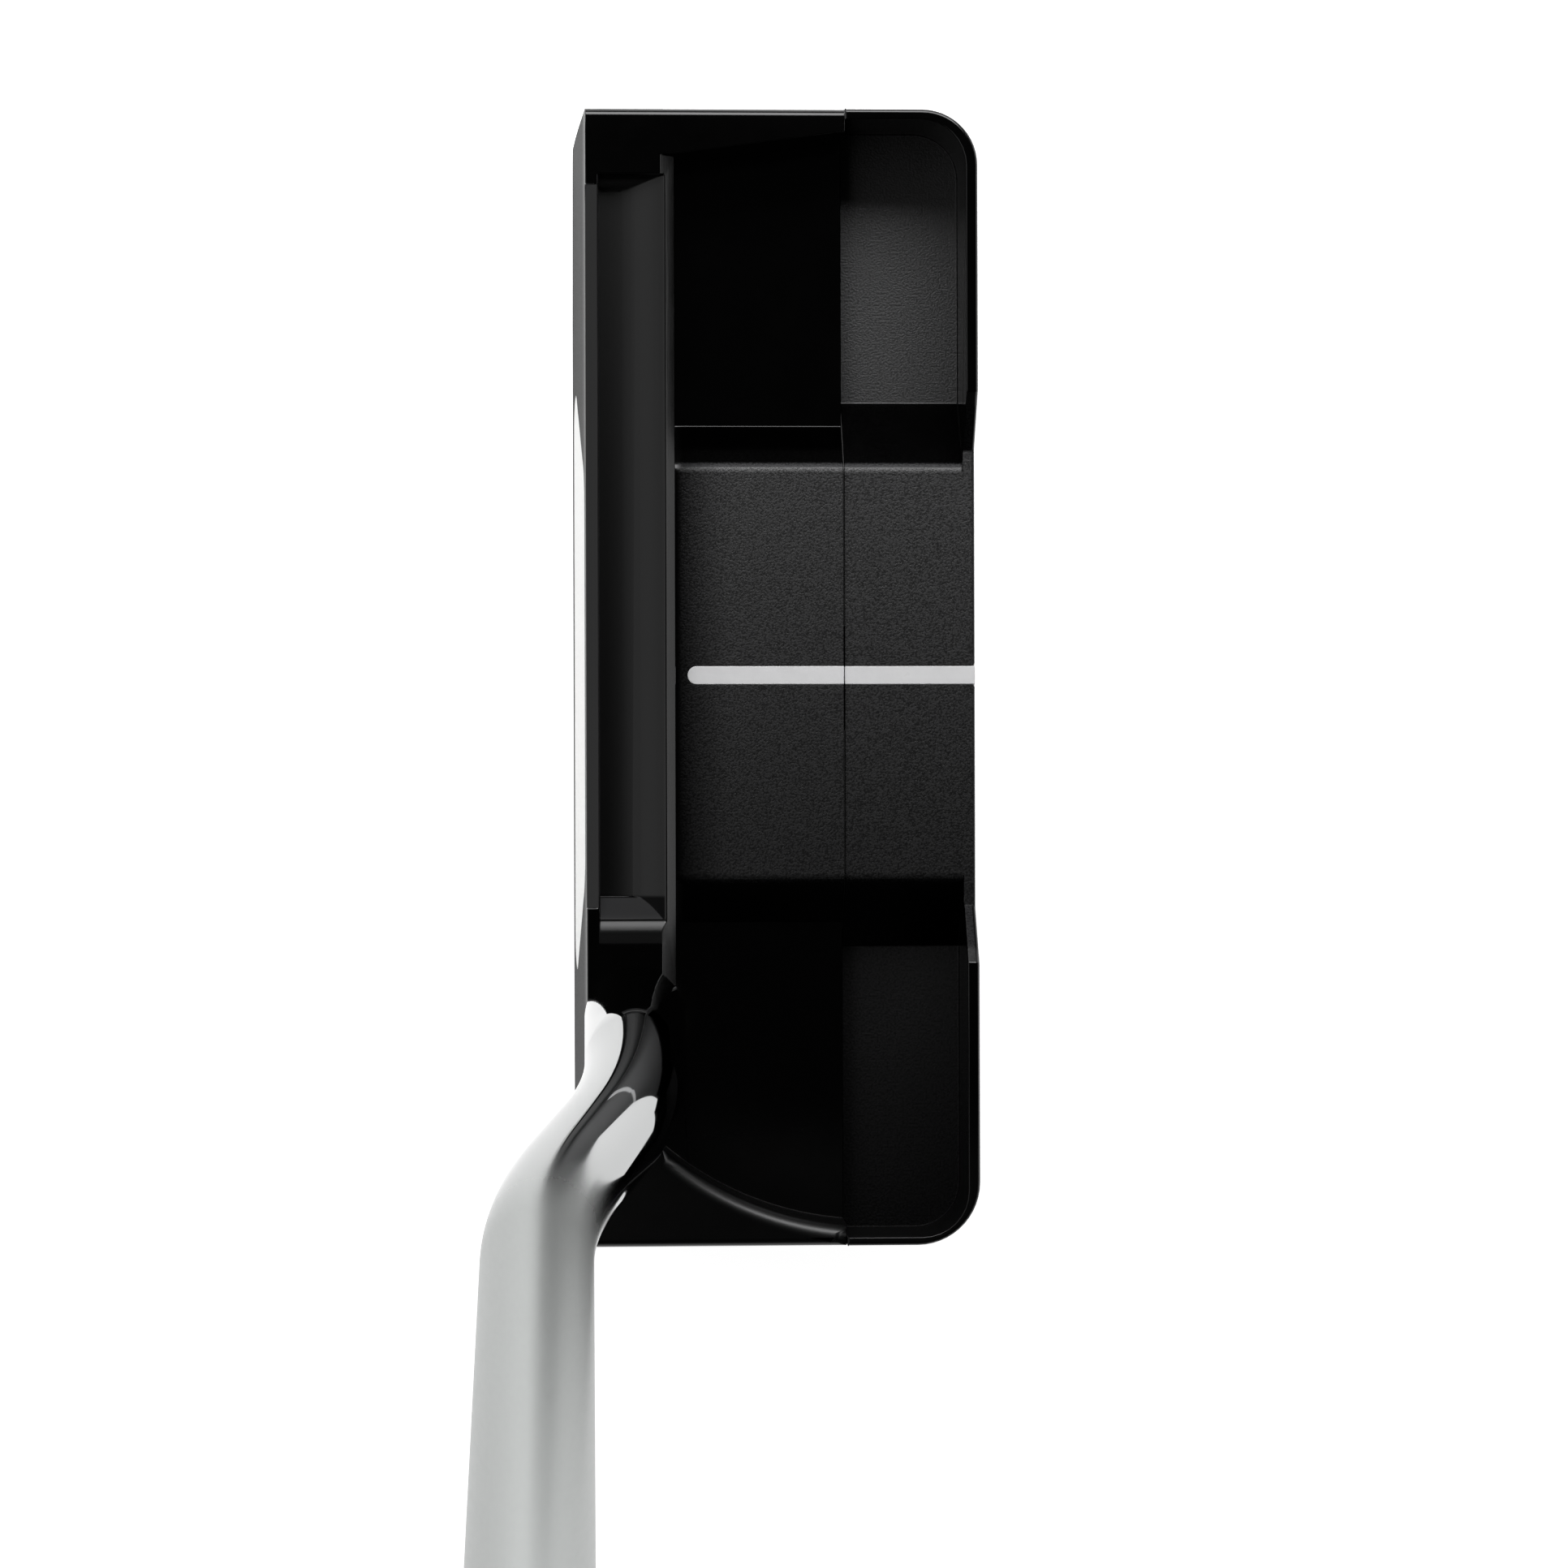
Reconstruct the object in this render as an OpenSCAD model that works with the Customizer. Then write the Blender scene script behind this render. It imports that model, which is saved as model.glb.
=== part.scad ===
// Wide-blade putter, right-handed, soled flat with its face square to the target.
// +X points away from the face (backwards), +Y towards the toe, +Z up.
// The origin is the middle of the sole, level with the surface that it rests on.

/* [Head] */
// Heel-to-toe length of the head
head_length = 108.8; // [104:0.2:114]
// Depth of the head from the leading edge to the back edge
head_depth = 38.9; // [38:0.1:42]
// Height of the head at the topline and the end blocks
head_height = 25; // [24:0.5:27]
// Loft of the face, in degrees
loft = 3; // [2:0.5:4]
// Corner radius at the back of the toe
toe_corner_r = 5.3; // [4:0.1:8]
// Corner radius at the back of the heel
heel_corner_r = 6; // [4:0.1:8]
// Width of the painted sight line
sight_line_w = 1.75; // [1:0.05:3]

/* [Top] */
// Height of the raised centre plateau in front of the seam
plateau_h = 21.1; // [20:0.1:22]
// Height of the recessed floors in front of the seam
front_floor_h = 17.5; // [16.5:0.1:18.5]
// Height of the recessed floors behind the seam
rear_floor_h = 15; // [13:0.1:16]
// Width of the raised centre plateau
plateau_w = 41; // [36:0.5:44]

/* [Shaft] */
// Lie angle between the shaft and the ground, in degrees
lie = 70; // [68:0.5:72]
// Club length along the shaft, from the ground line to the end of the grip
club_length = 889; // [840:1:915]
// Outside diameter of the shaft's parallel tip, through the double bend
tip_d = 9.6; // [9:0.1:9.8]
// Outside diameter of the shaft under the grip
butt_d = 14.7; // [14:0.1:15.2]
// Wall thickness of the shaft
shaft_wall = 0.55; // [0.5:0.01:0.65]
// Angle of each of the two bends, in degrees
bend_angle = 20; // [18:0.5:20.5]
// Sideways step that the two bends make towards the target
bend_offset = 8.8; // [8:0.1:9.4]

/* [Grip] */
// Length of the grip
grip_length = 267; // [250:1:280]
// Diameter of the grip at its lower end
grip_tip_d = 19.6; // [19:0.2:21]
// Width of the grip across its flat front at the butt
grip_butt_w = 27; // [25:0.5:29]
// Hole in the end cap, a vent that also takes a screw-in sensor
vent_d = 3.6; // [3:0.1:4]

/* [Hidden] */

$fn = 96;
cut = 0.5;                           // how far a cutter runs past a surface
far = 60;                            // longer than half the head, for cutters that run right through

// Head outline
toe_y = head_length / 2;
heel_y = -head_length / 2;
lead_x = -head_depth / 2;
back_x = head_depth / 2;
front_corner_r = 0.8;
top_x = lead_x + head_height * tan(loft);  // face edge at the topline
relief_from = 36;                    // the sole lifts from here to the toe and heel
relief_angle = 3.5;

// Topline, channel and ridge
lip_w = 1.2;
lip_drop = 0.6;
channel_x0 = top_x + lip_w;
channel_r = 8;
channel_x = channel_x0 + 1.5;        // deepest line of the channel
channel_z = head_height - 2.15;
channel_toe = 48.1;
channel_heel = -21;
channel_end_r = 2.3;
bar_wall_w = 2.2;                    // slope of the wall at the channel's heel end
bar_r = 3.3;                         // rounded crest above that wall
bar_angles = [52, 76];
ridge_x = -10.3;                     // the channel's cutter stops just past the ridge's top edge
ridge_foot_x = -9.6;                 // upright wall of the ridge
ridge_top_x = -11;                   // its 45-degree chamfer carried up to the full height
ridge_heel = -29.5;

// Floors, plateau, seam and rim
seam_x = 6.7;
seam_step = 0.4;
rear_plateau_h = plateau_h - seam_step;
plateau_y = 0.5;                     // middle of the plateau
front_slope = 3.6;
rear_slope = 6.1;
rim_w = 1.15;
rim_toe_y = toe_y - 1;
rim_heel_y = heel_y + 0.8;
pocket_corner_r = 4.4;
toe_wall = [[ridge_foot_x, 50], [seam_x, 52.2]];
heel_arc_c = [9.3, -21.6];           // middle of the heel wall's curve
heel_arc_r = 31;
heel_arc_angles = [265, 229];
heel_seam_y = -52.5;                 // heel wall where it reaches the seam
pocket_heel_x = -11.3;               // front wall of the heel pocket, clear of the shaft
heel_front_wall = [[pocket_heel_x, -42.2], [pocket_heel_x + 0.6, -41.2], [ridge_foot_x, -40]];
crest_r = 1.6;                       // rounded crests of the plateau
rim_dip_flat = 22;                   // half width of the lowered rim
rim_dip_ends = 28;

// Tongue, cavity and fasteners between the two bodies
tongue_x = 14.2;
tongue_h = 3;
tongue_y = 49;
glue_gap = 0.1;
cavity_x = -12.4;
cavity_y = 32;
cavity_z = [2.6, 14.2];
cavity_high_y = 18;
cavity_high_z = 17.6;
screw_x = 10.6;
screw_ys = [-43, -15, 15, 43];
screw_r = 1.5;
screw_head_r = 2.9;
screw_head_h = 1.6;
screw_head_sunk = 0.15;
screw_l = 9.5;
screw_key = 2;                       // across the flats of the hex socket
dowel_r = 1.5;
dowel_y = 38.5;
dowel_z = 9;
dowel_x = [2.6, 11];

// Sole weights
weight_x = -6;
weight_ys = [41.5, -41.5];
weight_r = 6.5;
weight_l = 9;
weight_play = 0.03;
weight_recess = 0.3;
weight_chamfer = 0.4;
weight_key = 4;
weight_key_depth = 4;
washer_h = 0.5;

// Face insert
insert_depth = 3;
insert_play = 0.05;
insert_tape_h = 0.2;
insert_half = [28.5, 21.5];          // half widths at the bottom and the top edge
insert_z = [2.6, 21.9];
insert_r = [3.5, 5];

// Shaft line
entry = [-13.6, -32.6, head_height]; // where the shaft's axis meets the head's top
lean = 90 - lie;
seat_s = -4;                         // tube and post start here, below the head's top
post_play = 0.12;
post_root = 8.5;
bend_r = 50;
bend_start = 10.2;
mid_run = (bend_offset - 2 * bend_r * (1 - cos(bend_angle))) / sin(bend_angle);
taper_start = 130;
butt_s = club_length - head_height / cos(lean);
cap_h = 5;
grip_back_rise = 6.5;                // extra depth of the pistol bulge at the back
grip_back_at = 0.62;                 // where along the grip the bulge starts
grip_back_run = 0.26;
shaft_end = butt_s - cap_h;
grip_start = butt_s - grip_length;
tape_h = 0.2;
taper_end = grip_start - 6;

sight_y = 0.3;
sight_x0 = -8.4;
sight_depth = 0.35;
rear_line_l = back_x - seam_x - glue_gap;

// ---------------------------------------------------------------- helpers

// Points of an arc about c, from angle a to angle b
function arc(c, r, a, b, n = 8) =
    [for (i = [0:n]) c + r * [cos(a + (b - a) * i / n), sin(a + (b - a) * i / n)]];

// Extrudes an outline drawn in X and Z along Y, from y0 to y1
module along_y(y0, y1) {
    translate([0, y1, 0]) rotate([90, 0, 0]) linear_extrude(y1 - y0) children();
}

// Extrudes an outline drawn in Y and Z along X, from x0 to x1
module along_x(x0, x1) {
    translate([x0, 0, 0]) rotate([90, 0, 90]) linear_extrude(x1 - x0) children();
}

// The face's own frame: local X runs into the head and local Z up the face
module on_face() {
    translate([lead_x, 0, 0]) rotate([0, loft, 0]) children();
}

// The shaft's own frame: local Z runs up the axis from the top of the head
module on_shaft() {
    translate(entry) rotate([lean, 0, 0]) children();
}

module upper_shaft_line() {
    on_shaft() translate([-bend_offset, 0, 0]) children();
}

// ---------------------------------------------------------------- head shapes

module corner_waste(x, y, sx, sy, r) {
    difference() {
        translate([x - (sx > 0 ? r : cut), y - (sy > 0 ? r : cut)]) square(r + cut);
        translate([x - sx * r, y - sy * r]) circle(r);
    }
}

module head_outline() {
    difference() {
        translate([lead_x, heel_y]) square([head_depth, head_length]);
        corner_waste(back_x, toe_y, 1, 1, toe_corner_r);
        corner_waste(back_x, heel_y, 1, -1, heel_corner_r);
        corner_waste(lead_x, toe_y, -1, 1, front_corner_r);
        corner_waste(lead_x, heel_y, -1, -1, front_corner_r);
    }
}

// Everything in front of the face plane
module face_waste() {
    on_face() translate([-10, -head_length, -10]) cube([10, 2 * head_length, 50]);
}

module sole_relief() {
    for (side = [-1, 1])
        translate([0, side * relief_from, 0]) rotate([side * relief_angle, 0, 0])
            translate([-head_depth, side > 0 ? 0 : -40, -10]) cube([2 * head_depth, 40, 10]);
}

module head_blank() {
    difference() {
        linear_extrude(head_height) head_outline();
        face_waste();
        sole_relief();
    }
}

// Small slope along the top of the face, in front of the channel
module lip_waste() {
    along_y(channel_heel - 1, channel_toe - 1)
        polygon([[top_x - 1, head_height - lip_drop * (lip_w + 1) / lip_w], [channel_x0, head_height],
                 [channel_x0, head_height + 1], [top_x - 1, head_height + 1]]);
}

// Concave channel behind the topline
module channel_waste() {
    intersection() {
        along_y(channel_heel - 6, channel_toe)
            intersection() {
                translate([channel_x, channel_z + channel_r]) circle(channel_r);
                translate([channel_x0, 0]) square([ridge_x - channel_x0, far]);
            }
        along_x(channel_x0 - 1, ridge_x + 1)
            polygon(concat(
                arc([channel_toe - channel_end_r, head_height], channel_end_r, 0, -90),
                [[channel_toe - channel_end_r, channel_z - 1], [channel_heel, channel_z - 1],
                 [channel_heel, channel_z + 0.4], [channel_heel - bar_wall_w, head_height - 0.6]],
                arc([channel_heel - bar_wall_w - 2, head_height - bar_r + 0.1], bar_r,
                    bar_angles[0], bar_angles[1], 4),
                [[channel_heel - bar_wall_w - 2.5, head_height + 2],
                 [channel_toe, head_height + 2]]));
    }
}

// Chamfer along the back of the ridge
module ridge_waste() {
    foot_z = head_height - (ridge_foot_x - ridge_top_x);
    along_y(ridge_heel, toe_wall[0][1])
        polygon([[ridge_top_x, head_height], [ridge_foot_x, foot_z],
                 [ridge_foot_x + 1, foot_z], [ridge_foot_x + 1, head_height + 1],
                 [ridge_top_x, head_height + 1]]);
}

// Cross-section of the space above the floors and the plateau, in Y and Z
module above_floors(floor_h, top_h, slope_w) {
    half = plateau_w / 2;
    translate([plateau_y, 0])
        polygon(concat(
            [[-far, 40], [-far, floor_h], [-half - slope_w, floor_h]],
            arc([-half + 1.2, top_h - crest_r], crest_r, 135, 90, 6),
            arc([half - 1.2, top_h - crest_r], crest_r, 90, 45, 6),
            [[half + slope_w, floor_h], [far, floor_h], [far, 40]]));
}

module front_floor_waste() {
    intersection() {
        linear_extrude(far)
            polygon(concat(
                [[seam_x + cut, heel_seam_y]],
                arc(heel_arc_c, heel_arc_r, heel_arc_angles[0], heel_arc_angles[1], 18),
                heel_front_wall, toe_wall, [[seam_x + cut, toe_wall[1][1]]]));
        along_x(pocket_heel_x - 1, seam_x + cut) above_floors(front_floor_h, plateau_h, front_slope);
    }
}

module rear_floor_waste() {
    r = pocket_corner_r;
    x = back_x - rim_w;
    intersection() {
        linear_extrude(far) polygon(concat(
            [[seam_x - cut, rim_heel_y]], arc([x - r, rim_heel_y + r], r, 270, 360),
            arc([x - r, rim_toe_y - r], r, 0, 90), [[seam_x - cut, rim_toe_y]]));
        along_x(seam_x - cut, back_x - rim_w)
            above_floors(rear_floor_h, rear_plateau_h, rear_slope);
    }
}

// The rim dips to the level of the plateau behind it
module rim_dip() {
    along_x(back_x - rim_w - cut, back_x + cut)
        polygon([[-rim_dip_ends, head_height + cut], [-rim_dip_flat, rear_plateau_h],
                 [rim_dip_flat, rear_plateau_h], [rim_dip_ends, head_height + cut]]);
}

// The front stretch of the sight line, with its round end
module front_line_shape(height) {
    half = sight_line_w / 2;
    translate([sight_x0 + half, sight_y, plateau_h - sight_depth]) linear_extrude(height) {
        circle(half);
        translate([0, -half]) square([seam_x - sight_x0 - half, sight_line_w]);
    }
}

// The rear stretch runs out over the back edge
module rear_line_shape(length, height) {
    translate([seam_x + glue_gap, sight_y - sight_line_w / 2, rear_plateau_h - sight_depth])
        cube([length, sight_line_w, height]);
}

module insert_outline(grow) {
    b = [insert_half[0] - insert_r[0], insert_z[0] + insert_r[0]];
    t = [insert_half[1] - insert_r[1], insert_z[1] - insert_r[1]];
    side = atan2(insert_z[1] - insert_z[0], insert_half[0] - insert_half[1]);
    edge = 90 - side;
    polygon(concat(
        arc(b, insert_r[0] + grow, -90, edge), arc(t, insert_r[1] + grow, edge, 90),
        arc([-t[0], t[1]], insert_r[1] + grow, 90, 180 - edge),
        arc([-b[0], b[1]], insert_r[0] + grow, 180 - edge, 270)));
}

// ---------------------------------------------------------------- head nodes

module weight_place(y) {
    translate([weight_x, y, 0]) children();
}

module screw_place(y) {
    translate([screw_x, y, 0]) children();
}

// Post that the shaft slips over, up to where the first bend begins
module hosel_post() {
    on_shaft() translate([0, 0, -post_root])
        cylinder(r = tip_d / 2 - shaft_wall - post_play, h = bend_start + post_root);
}

module front_body() {
    color([0.05, 0.05, 0.055]) difference() {
        union() {
            difference() {
                head_blank();
                lip_waste();
                channel_waste();
                ridge_waste();
                front_floor_waste();
            }
            hosel_post();
        }
        // behind the seam only the tongue under the rear body stays
        translate([seam_x, -far, tongue_h]) cube([40, 2 * far, 40]);
        translate([tongue_x, -far, -cut]) cube([40, 2 * far, 40]);
        for (side = [-1, 1])
            translate([seam_x, side > 0 ? tongue_y : -tongue_y - 20, -cut]) cube([40, 20, 40]);
        translate([cavity_x, -cavity_y, cavity_z[0]])
            cube([40, 2 * cavity_y, cavity_z[1] - cavity_z[0]]);
        translate([cavity_x, -cavity_high_y, cavity_z[0]])
            cube([40, 2 * cavity_high_y, cavity_high_z - cavity_z[0]]);
        on_face() rotate([90, 0, 90]) translate([0, 0, -1])
            linear_extrude(insert_depth + insert_tape_h + 1) insert_outline(insert_play);
        for (y = weight_ys) weight_place(y)
            translate([0, 0, -cut])
                cylinder(r = weight_r + weight_play,
                         h = cut + weight_recess + weight_l + washer_h);
        for (y = screw_ys) screw_place(y) {
            translate([0, 0, -cut]) cylinder(r = screw_r + 0.1, h = 6);
            screw_head_cone(0.05);
        }
        for (side = [-1, 1]) translate([dowel_x[0], side * dowel_y, dowel_z])
            rotate([0, 90, 0]) cylinder(r = dowel_r, h = 20);
        front_line_shape(sight_depth + cut);
    }
}

module rear_body() {
    color([0.06, 0.06, 0.065]) difference() {
        intersection() {
            head_blank();
            translate([seam_x + glue_gap, -far, -cut]) cube([40, 2 * far, far]);
        }
        rear_floor_waste();
        rim_dip();
        translate([0, -tongue_y - glue_gap, -cut])
            cube([tongue_x + glue_gap, 2 * (tongue_y + glue_gap), cut + tongue_h + glue_gap]);
        for (y = screw_ys) screw_place(y) cylinder(r = screw_r, h = screw_l + 1);
        for (side = [-1, 1]) translate([0, side * dowel_y, dowel_z])
            rotate([0, 90, 0]) cylinder(r = dowel_r, h = dowel_x[1]);
        rear_line_shape(rear_line_l + cut, sight_depth + cut);
    }
}

// Film that bonds the rear body to the front one
module seam_adhesive() {
    color([0.03, 0.03, 0.03]) difference() {
        intersection() {
            head_blank();
            translate([seam_x, -far, 0]) cube([glue_gap, 2 * far, 40]);
        }
        translate([0, -tongue_y - glue_gap, -cut])
            cube([40, 2 * (tongue_y + glue_gap), cut + tongue_h + glue_gap]);
        front_seam_waste();
        rear_floor_waste();
        for (side = [-1, 1]) translate([0, side * dowel_y, dowel_z])
            rotate([0, 90, 0]) cylinder(r = dowel_r + 0.3, h = 20);
        translate([0, -5, plateau_h - 1.5]) cube([20, 10, 10]);
        translate([0, -cavity_y - cut, 0]) cube([20, 2 * (cavity_y + cut), cavity_z[1] + cut]);
        translate([0, -cavity_high_y - cut, 0])
            cube([20, 2 * (cavity_high_y + cut), cavity_high_z + cut]);
    }
}

// The front floors' cross-section carried through the seam
module front_seam_waste() {
    intersection() {
        along_x(seam_x - cut, seam_x + 1) above_floors(front_floor_h, plateau_h, front_slope);
        translate([0, heel_seam_y, 0]) cube([20, toe_wall[1][1] - heel_seam_y, far]);
    }
}

module hex_key(across, depth) {
    cylinder(d = across / cos(30), h = depth, $fn = 6);
}

module screw_head_cone(grow) {
    translate([0, 0, -0.01])
        cylinder(r1 = screw_head_r + grow, r2 = screw_r + grow, h = screw_head_h + grow);
}

// Countersunk screws, driven up through the tongue into the rear body
module body_screws() {
    color([0.45, 0.45, 0.47]) for (y = screw_ys) screw_place(y) difference() {
        union() {
            translate([0, 0, screw_head_sunk])
                cylinder(r1 = screw_head_r - screw_head_sunk, r2 = screw_r,
                         h = screw_head_h - screw_head_sunk);
            cylinder(r = screw_r - 0.02, h = screw_l);
        }
        translate([0, 0, -cut]) cylinder(r = screw_head_r, h = cut + screw_head_sunk);
        translate([0, 0, -cut]) hex_key(screw_key, cut + 1.3);
    }
}

module locating_dowels() {
    color([0.7, 0.7, 0.72]) for (side = [-1, 1])
        translate([dowel_x[0] + 0.2, side * dowel_y, dowel_z]) rotate([0, 90, 0])
            cylinder(r = dowel_r - 0.01, h = dowel_x[1] - dowel_x[0] - 0.4);
}

module face_insert() {
    color([0.92, 0.92, 0.91]) on_face() rotate([90, 0, 90])
        linear_extrude(insert_depth) insert_outline(0);
}

module insert_tape() {
    color([0.75, 0.72, 0.6]) on_face() rotate([90, 0, 90]) translate([0, 0, insert_depth])
        linear_extrude(insert_tape_h) insert_outline(-0.3);
}

module front_sight_line() {
    color([0.92, 0.92, 0.92]) front_line_shape(sight_depth);
}

module rear_sight_line() {
    color([0.92, 0.92, 0.92]) rear_line_shape(rear_line_l, sight_depth);
}

module sole_weight(y) {
    color([0.6, 0.6, 0.6]) weight_place(y) translate([0, 0, weight_recess]) difference() {
        union() {
            cylinder(r1 = weight_r - weight_chamfer, r2 = weight_r, h = weight_chamfer);
            translate([0, 0, weight_chamfer]) cylinder(r = weight_r, h = weight_l - weight_chamfer);
        }
        translate([0, 0, -cut]) hex_key(weight_key, cut + weight_key_depth);
    }
}

module toe_weight() {
    sole_weight(weight_ys[0]);
}

module heel_weight() {
    sole_weight(weight_ys[1]);
}

// A thin washer above each weight takes up its thread's play
module weight_washers() {
    color([0.15, 0.15, 0.15]) for (y = weight_ys) weight_place(y)
        translate([0, 0, weight_recess + weight_l]) difference() {
            cylinder(r = weight_r - 0.4, h = washer_h);
            translate([0, 0, -cut]) cylinder(r = weight_r - 2.6, h = washer_h + 2 * cut);
        }
}

// ---------------------------------------------------------------- shaft

// Rings along the shaft in its own frame: [x and z of the centre, turn towards -X, outer radius]
function bend_1(a) = [[-bend_r * (1 - cos(a)), bend_start + bend_r * sin(a)], a, tip_d / 2];
function bend_2(a) =
    let (start = bend_1(bend_angle)[0] + mid_run * [-sin(bend_angle), cos(bend_angle)])
    [start + bend_r * [cos(bend_angle) - cos(a), sin(bend_angle) - sin(a)], a, tip_d / 2];
shaft_sides = 32;
bend_steps = 8;
shaft_rings = concat(
    [for (i = [0:bend_steps]) bend_1(bend_angle * i / bend_steps)],
    [for (i = [0:bend_steps]) bend_2(bend_angle * (1 - i / bend_steps))],
    [[[-bend_offset, taper_start], 0, tip_d / 2], [[-bend_offset, taper_end], 0, butt_d / 2],
     [[-bend_offset, shaft_end], 0, butt_d / 2]]);

function ring_point(ring, r, k) =
    let (f = 360 * k / shaft_sides, c = ring[0], a = ring[1])
    [c[0] + r * cos(f) * cos(a), r * sin(f), c[1] + r * cos(f) * sin(a)];

// The mitred foot stands on the flat top of the head
function foot_point(r, k) =
    let (f = 360 * k / shaft_sides) [r * cos(f), r * sin(f), -r * sin(f) * tan(lean)];

function shaft_wall_points(less) = concat(
    [for (k = [0:shaft_sides - 1]) foot_point(tip_d / 2 - less, k)],
    [for (ring = shaft_rings, k = [0:shaft_sides - 1]) ring_point(ring, ring[2] - less, k)]);

module shaft() {
    n = shaft_sides;
    last = len(shaft_rings);
    inner = (last + 1) * n;
    outside = [for (i = [0:last - 1], k = [0:n - 1])
        let (a = i * n, m = (k + 1) % n) [a + k, a + n + k, a + n + m, a + m]];
    inside = [for (f = outside) [f[3] + inner, f[2] + inner, f[1] + inner, f[0] + inner]];
    foot = [for (k = [0:n - 1]) let (m = (k + 1) % n) [k, m, m + inner, k + inner]];
    top = [for (k = [0:n - 1]) let (m = (k + 1) % n, a = last * n)
        [a + m, a + k, a + k + inner, a + m + inner]];
    color([0.8, 0.8, 0.82]) on_shaft()
        polyhedron(concat(shaft_wall_points(0), shaft_wall_points(shaft_wall)),
                   concat(outside, inside, foot, top), convexity = 6);
}

// Everything below the flat top of the head
module below_head_top() {
    translate([-60, -80, -100]) cube([120, 120, 100 + head_height]);
}

// Epoxy between the hosel post and the shaft, up to where the first bend begins
module shaft_epoxy() {
    color([0.7, 0.65, 0.4]) difference() {
        on_shaft() translate([0, 0, seat_s]) difference() {
            cylinder(r = tip_d / 2 - shaft_wall, h = bend_start - seat_s);
            translate([0, 0, -cut])
                cylinder(r = tip_d / 2 - shaft_wall - post_play, h = bend_start - seat_s + 2 * cut);
        }
        below_head_top();
    }
}

// ---------------------------------------------------------------- grip

// Layer of double-sided tape between the shaft and the grip
module grip_tape() {
    color([0.85, 0.83, 0.75]) upper_shaft_line() translate([0, 0, grip_start + 2]) difference() {
        cylinder(r = butt_d / 2 + tape_h, h = shaft_end - grip_start - 2);
        translate([0, 0, -cut]) cylinder(r = butt_d / 2, h = shaft_end - grip_start);
    }
}

// Shape of the pistol grip at t, from 0 at the lower end to 1 at the butt:
// half width, height of the flat front and depth of the rounded back
function ease(t) = t * t * (3 - 2 * t);
function grip_half_w(t) = grip_tip_d / 2 + (grip_butt_w - grip_tip_d) / 2 * ease(min(1, t * 1.5));
function grip_front(t) = grip_tip_d / 2 - 0.4 + 1.2 * ease(t);
function grip_back(t) =
    grip_tip_d / 2 + 1.5 * ease(min(1, t * 2))
    + grip_back_rise * ease(max(0, min(1, (t - grip_back_at) / grip_back_run)))
    - 1.8 * ease(max(0, (t - 0.9) / 0.1));

function grip_point(t, a) =
    let (w = grip_half_w(t), f = grip_front(t), b = grip_back(t), y = sin(a))
    [w * cos(a), y > 0 ? min(f, (f + 3) * y) : b * y];

grip_sides = 32;
grip_rings = 24;
grip_body_l = grip_length - cap_h;

module grip() {
    ring_ts = [for (i = [0:grip_rings]) i / grip_rings];
    points = [for (t = ring_ts, k = [0:grip_sides - 1])
        let (p = grip_point(t, 360 * k / grip_sides)) [p[0], p[1], grip_start + grip_body_l * t]];
    sides = [for (i = [0:grip_rings - 1], k = [0:grip_sides - 1])
        let (a = i * grip_sides, n = (k + 1) % grip_sides)
        [a + k, a + grip_sides + k, a + grip_sides + n, a + n]];
    ends = [[for (k = [0:grip_sides - 1]) k],
            [for (k = [grip_sides - 1:-1:0]) grip_rings * grip_sides + k]];
    color([0.06, 0.06, 0.06]) difference() {
        upper_shaft_line() polyhedron(points, concat(sides, ends), convexity = 4);
        upper_shaft_line() translate([0, 0, grip_start - cut])
            cylinder(r = butt_d / 2 + tape_h, h = grip_body_l + 2 * cut);
    }
}

module grip_end_cap() {
    color([0.08, 0.08, 0.08]) upper_shaft_line() translate([0, 0, shaft_end]) difference() {
        linear_extrude(cap_h)
            polygon([for (k = [0:grip_sides - 1]) grip_point(1, 360 * k / grip_sides)]);
        translate([0, 0, -cut]) cylinder(d = vent_d, h = cap_h + 2 * cut);
    }
}

front_body();
rear_body();
seam_adhesive();
body_screws();
locating_dowels();
face_insert();
insert_tape();
front_sight_line();
rear_sight_line();
toe_weight();
heel_weight();
weight_washers();
shaft();
shaft_epoxy();
grip_tape();
grip();
grip_end_cap();
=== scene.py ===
"""Wide-blade putter: finished meshes, materials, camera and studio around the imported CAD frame."""

import math

import bmesh
import bpy
from mathutils import Matrix, Vector


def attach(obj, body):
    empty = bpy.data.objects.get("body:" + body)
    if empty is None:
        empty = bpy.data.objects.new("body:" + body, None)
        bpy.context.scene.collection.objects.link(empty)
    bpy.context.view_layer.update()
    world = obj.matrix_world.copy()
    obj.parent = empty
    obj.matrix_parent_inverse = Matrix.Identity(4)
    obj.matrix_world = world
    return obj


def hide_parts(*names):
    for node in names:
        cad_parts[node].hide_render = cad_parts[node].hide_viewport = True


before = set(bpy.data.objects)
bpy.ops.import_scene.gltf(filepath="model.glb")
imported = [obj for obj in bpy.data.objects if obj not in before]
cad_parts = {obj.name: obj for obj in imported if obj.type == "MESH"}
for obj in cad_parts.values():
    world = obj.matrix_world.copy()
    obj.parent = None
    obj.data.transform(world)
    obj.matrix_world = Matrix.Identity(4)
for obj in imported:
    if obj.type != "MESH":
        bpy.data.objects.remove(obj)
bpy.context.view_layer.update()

MM = 0.001

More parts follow.
